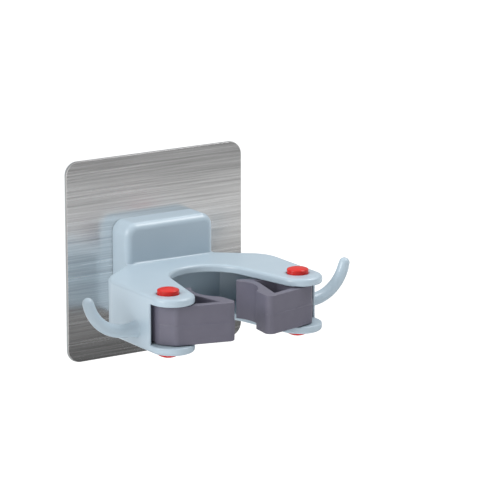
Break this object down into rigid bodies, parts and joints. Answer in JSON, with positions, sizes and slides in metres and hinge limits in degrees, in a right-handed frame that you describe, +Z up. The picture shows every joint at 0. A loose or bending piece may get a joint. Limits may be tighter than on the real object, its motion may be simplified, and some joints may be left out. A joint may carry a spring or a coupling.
{
  "type": "wall handle holder",
  "caption": "Square stick-on wall plate carrying a forked shelf whose sprung jaws close on an upright broom or mop handle, with an upswept hook on each side",
  "frame": {"origin": "centre of the wall face, on the back of the adhesive sheet", "axes": "+X to the right seen from the front, +Y into the wall, +Z up; the holder stands out along -Y"},
  "size_m": [0.1202, 0.0715, 0.08],
  "materials": {
    "clear_adhesive": "clear, slightly milky adhesive sheet",
    "plate_steel": "satin, brushed level",
    "fixing_steel": "plain drawn steel",
    "pale_abs": "semi-gloss pale grey-blue moulding",
    "dark_jaw": "satin dark grey-mauve moulding",
    "red_pin": "glossy red moulding"
  },
  "bodies": {
    "wall_holder": {"adhesive_sheet": "clear_adhesive", "backing_plate": "plate_steel", "plate_screws": "fixing_steel", "housing": "pale_abs", "left_hook": "pale_abs", "right_hook": "pale_abs", "left_pivot_pin": "red_pin", "right_pivot_pin": "red_pin", "left_pin_cap": "red_pin", "right_pin_cap": "red_pin", "left_spring": "fixing_steel", "right_spring": "fixing_steel"},
    "left_jaw": {"left_jaw": "dark_jaw"},
    "right_jaw": {"right_jaw": "dark_jaw"}
  },
  "joints": [
    {"name": "left_jaw_swing", "type": "hinge", "parent": "wall_holder", "child": "left_jaw", "pos_m": [-0.0292, -0.0582, -0.01167], "axis": [0, 0, -1], "range_deg": [0, 60], "stiffness_Nm_per_rad": 0.038, "springref_deg": -20.05, "deforming": ["left_spring"]},
    {"name": "right_jaw_swing", "type": "hinge", "parent": "wall_holder", "child": "right_jaw", "pos_m": [0.0292, -0.0582, -0.01167], "axis": [0, 0, 1], "range_deg": [0, 60], "stiffness_Nm_per_rad": 0.038, "springref_deg": -20.05, "deforming": ["right_spring"]}
  ]
}
